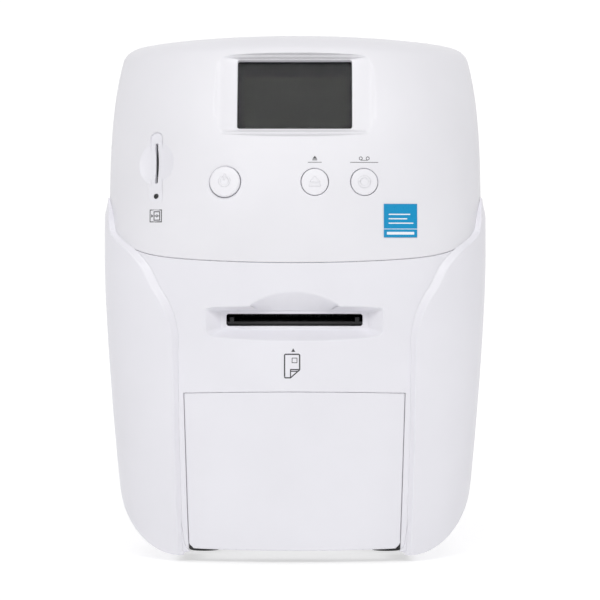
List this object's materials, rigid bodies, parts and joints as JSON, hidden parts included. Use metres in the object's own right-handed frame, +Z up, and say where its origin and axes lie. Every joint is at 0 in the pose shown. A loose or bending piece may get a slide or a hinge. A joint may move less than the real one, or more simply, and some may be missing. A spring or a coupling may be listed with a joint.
{
  "type": "id card printer",
  "caption": "Desktop card printer with a hinged cover, fold-down door, card hopper and slot, keys, rollers, ribbon spools and a lowering print head",
  "frame": {"origin": "middle of the footprint, on the surface the feet stand on", "axes": "+X to the right of a person facing the front, +Y towards the back, +Z up"},
  "size_m": [0.1764, 0.372, 0.2406],
  "materials": {
    "cover_white": "fine matt texture",
    "casing_white": "fine matt texture",
    "panel_white": "satin",
    "base_grey": "matt",
    "foot_rubber": "matt",
    "sheet_steel": "zinc plated",
    "black_plastic": "matt",
    "dark_plastic": "matt",
    "board_green": "solder mask",
    "port_metal": "tin plated",
    "motor_metal": "satin",
    "wheel_plastic": "satin",
    "belt_rubber": "matt",
    "roller_rubber": "matt",
    "idler_steel": "ground",
    "cleaning_blue": "tacky",
    "bearing_bronze": "sintered",
    "ribbon_dark": "glossy film",
    "carrier_grey": "matt",
    "head_ceramic": "smooth",
    "heatsink_aluminium": "extruded",
    "lens_smoke": "clear, smoked",
    "screen_dark": "glossy",
    "key_white": "satin",
    "label_blue": "glossy",
    "screw_steel": "zinc plated"
  },
  "bodies": {
    "base": {"base_tray": "base_grey", "rubber_feet": "foot_rubber", "front_fascia": "casing_white", "left_panel": "panel_white", "right_panel": "panel_white", "rear_panel": "base_grey", "rear_housing": "casing_white", "power_inlet": "black_plastic", "data_ports": "port_metal", "left_chassis": "sheet_steel", "right_chassis": "sheet_steel", "chassis_deck": "sheet_steel", "card_track": "black_plastic", "card_hopper": "dark_plastic", "main_board": "board_green", "power_supply": "sheet_steel", "fan_frame": "black_plastic", "output_bin": "dark_plastic", "drive_motor": "motor_metal", "drive_belt": "belt_rubber", "shaft_bearings": "bearing_bronze", "ribbon_cassette": "dark_plastic", "ribbon_film": "ribbon_dark", "ribbon_motor": "motor_metal", "panel_screws": "screw_steel"},
    "cover": {"top_cover": "cover_white", "head_bracket": "sheet_steel", "cam_motor": "motor_metal", "display_lens": "lens_smoke", "display_panel": "screen_dark", "control_board": "board_green", "chip_reader": "black_plastic", "seal_label": "label_blue"},
    "lid": {"hopper_lid": "cover_white"},
    "door": {"front_door": "casing_white"},
    "power_key": {"power_button": "key_white"},
    "eject_key": {"eject_button": "key_white"},
    "ribbon_key": {"ribbon_button": "key_white"},
    "head": {"head_carrier": "carrier_grey", "print_head": "head_ceramic", "head_heatsink": "heatsink_aluminium"},
    "cam": {"head_cam": "wheel_plastic"},
    "fan": {"fan_rotor": "black_plastic"},
    "motor_wheel": {"motor_pulley": "wheel_plastic"},
    "exit_roll": {"exit_roller": "roller_rubber"},
    "front_roll": {"front_roller": "roller_rubber"},
    "platen": {"platen_roller": "roller_rubber"},
    "rear_roll": {"rear_roller": "roller_rubber"},
    "inlet_roll": {"inlet_roller": "roller_rubber"},
    "pick_roll": {"pick_roller": "roller_rubber"},
    "exit_idler": {"exit_pinch": "idler_steel"},
    "front_idler": {"front_pinch": "idler_steel"},
    "rear_idler": {"rear_pinch": "idler_steel"},
    "cleaner": {"cleaning_roller": "cleaning_blue"},
    "supply": {"supply_spool": "ribbon_dark"},
    "takeup": {"takeup_spool": "ribbon_dark"},
    "ribbon_wheel": {"ribbon_gear": "wheel_plastic"},
    "gate": {"card_gate": "black_plastic"},
    "pusher": {"card_pusher": "dark_plastic"}
  },
  "joints": [
    {"name": "cover_hinge", "type": "hinge", "parent": "base", "child": "cover", "pos_m": [0, 0.07, 0.2286], "axis": [-1, 0, 0], "range_deg": [0, 70]},
    {"name": "lid_hinge", "type": "hinge", "parent": "base", "child": "lid", "pos_m": [0, 0.168, 0.2326], "axis": [-1, 0, 0], "range_deg": [0, 88]},
    {"name": "door_hinge", "type": "hinge", "parent": "base", "child": "door", "pos_m": [0, -0.1765, 0.013], "axis": [1, 0, 0], "range_deg": [0, 82]},
    {"name": "power_press", "type": "slide", "parent": "cover", "child": "power_key", "axis": [0.1295, 0.9739, -0.1865], "range_m": [0, 0.0012], "stiffness_N_per_m": 400},
    {"name": "eject_press", "type": "slide", "parent": "cover", "child": "eject_key", "axis": [-0.0251, 0.9821, -0.1865], "range_m": [0, 0.0012], "stiffness_N_per_m": 400},
    {"name": "ribbon_press", "type": "slide", "parent": "cover", "child": "ribbon_key", "axis": [-0.1307, 0.9737, -0.1865], "range_m": [0, 0.0012], "stiffness_N_per_m": 400},
    {"name": "cam_turn", "type": "hinge", "parent": "cover", "child": "cam", "pos_m": [0, -0.05, 0.172], "axis": [1, 0, 0], "range_deg": [0, 180]},
    {"name": "head_lower", "type": "slide", "parent": "cover", "child": "head", "axis": [0, 0, -1], "range_m": [0, 0.003]},
    {"name": "fan_spin", "type": "hinge", "parent": "base", "child": "fan", "pos_m": [0.06253, 0.16, 0.076], "axis": [0, 1, 0], "continuous": true},
    {"name": "platen_spin", "type": "hinge", "parent": "base", "child": "platen", "pos_m": [0, -0.05, 0.1026], "axis": [1, 0, 0], "continuous": true},
    {"name": "exit_spin", "type": "hinge", "parent": "base", "child": "exit_roll", "pos_m": [0, -0.152, 0.1026], "axis": [1, 0, 0], "continuous": true},
    {"name": "front_spin", "type": "hinge", "parent": "base", "child": "front_roll", "pos_m": [0, -0.092, 0.1026], "axis": [1, 0, 0], "continuous": true},
    {"name": "rear_spin", "type": "hinge", "parent": "base", "child": "rear_roll", "pos_m": [0, -0.014, 0.1026], "axis": [1, 0, 0], "continuous": true},
    {"name": "inlet_spin", "type": "hinge", "parent": "base", "child": "inlet_roll", "pos_m": [0, 0.058, 0.1026], "axis": [1, 0, 0], "continuous": true},
    {"name": "pick_spin", "type": "hinge", "parent": "base", "child": "pick_roll", "pos_m": [0, 0.118, 0.1026], "axis": [1, 0, 0], "continuous": true},
    {"name": "motor_spin", "type": "hinge", "parent": "base", "child": "motor_wheel", "pos_m": [0, -0.02, 0.07], "axis": [1, 0, 0], "continuous": true},
    {"name": "exit_pinch_spin", "type": "hinge", "parent": "base", "child": "exit_idler", "pos_m": [0, -0.152, 0.1154], "axis": [1, 0, 0], "continuous": true},
    {"name": "front_pinch_spin", "type": "hinge", "parent": "base", "child": "front_idler", "pos_m": [0, -0.092, 0.1154], "axis": [1, 0, 0], "continuous": true},
    {"name": "rear_pinch_spin", "type": "hinge", "parent": "base", "child": "rear_idler", "pos_m": [0, -0.014, 0.1154], "axis": [1, 0, 0], "continuous": true},
    {"name": "cleaner_spin", "type": "hinge", "parent": "base", "child": "cleaner", "pos_m": [0, 0.058, 0.1174], "axis": [1, 0, 0], "continuous": true},
    {"name": "takeup_spin", "type": "hinge", "parent": "base", "child": "takeup", "pos_m": [0, -0.118, 0.15], "axis": [1, 0, 0], "continuous": true},
    {"name": "supply_spin", "type": "hinge", "parent": "base", "child": "supply", "pos_m": [0, 0.002, 0.15], "axis": [1, 0, 0], "continuous": true},
    {"name": "ribbon_gear_spin", "type": "hinge", "parent": "base", "child": "ribbon_wheel", "pos_m": [0, -0.13101, 0.13699], "axis": [1, 0, 0], "continuous": true},
    {"name": "gate_tilt", "type": "hinge", "parent": "base", "child": "gate", "pos_m": [0, -0.134, 0.105], "axis": [1, 0, 0], "range_deg": [0, 12]},
    {"name": "pusher_slide", "type": "slide", "parent": "base", "child": "pusher", "axis": [0, 0, 1], "range_m": [0, 0.072]}
  ],
  "couplings": [
    {"joint": "exit_spin", "follows": "platen_spin", "ratio": 1},
    {"joint": "front_spin", "follows": "platen_spin", "ratio": 1},
    {"joint": "rear_spin", "follows": "platen_spin", "ratio": 1},
    {"joint": "inlet_spin", "follows": "platen_spin", "ratio": 1},
    {"joint": "pick_spin", "follows": "platen_spin", "ratio": 1},
    {"joint": "motor_spin", "follows": "platen_spin", "ratio": 1.1429},
    {"joint": "exit_pinch_spin", "follows": "platen_spin", "ratio": -1.4},
    {"joint": "front_pinch_spin", "follows": "platen_spin", "ratio": -1.4},
    {"joint": "rear_pinch_spin", "follows": "platen_spin", "ratio": -1.4},
    {"joint": "cleaner_spin", "follows": "platen_spin", "ratio": -1},
    {"joint": "supply_spin", "follows": "takeup_spin", "ratio": 0.71429},
    {"joint": "ribbon_gear_spin", "follows": "takeup_spin", "ratio": -2},
    {"joint": "cam_turn", "follows": "head_lower", "rad_per_m": 1047.2}
  ]
}
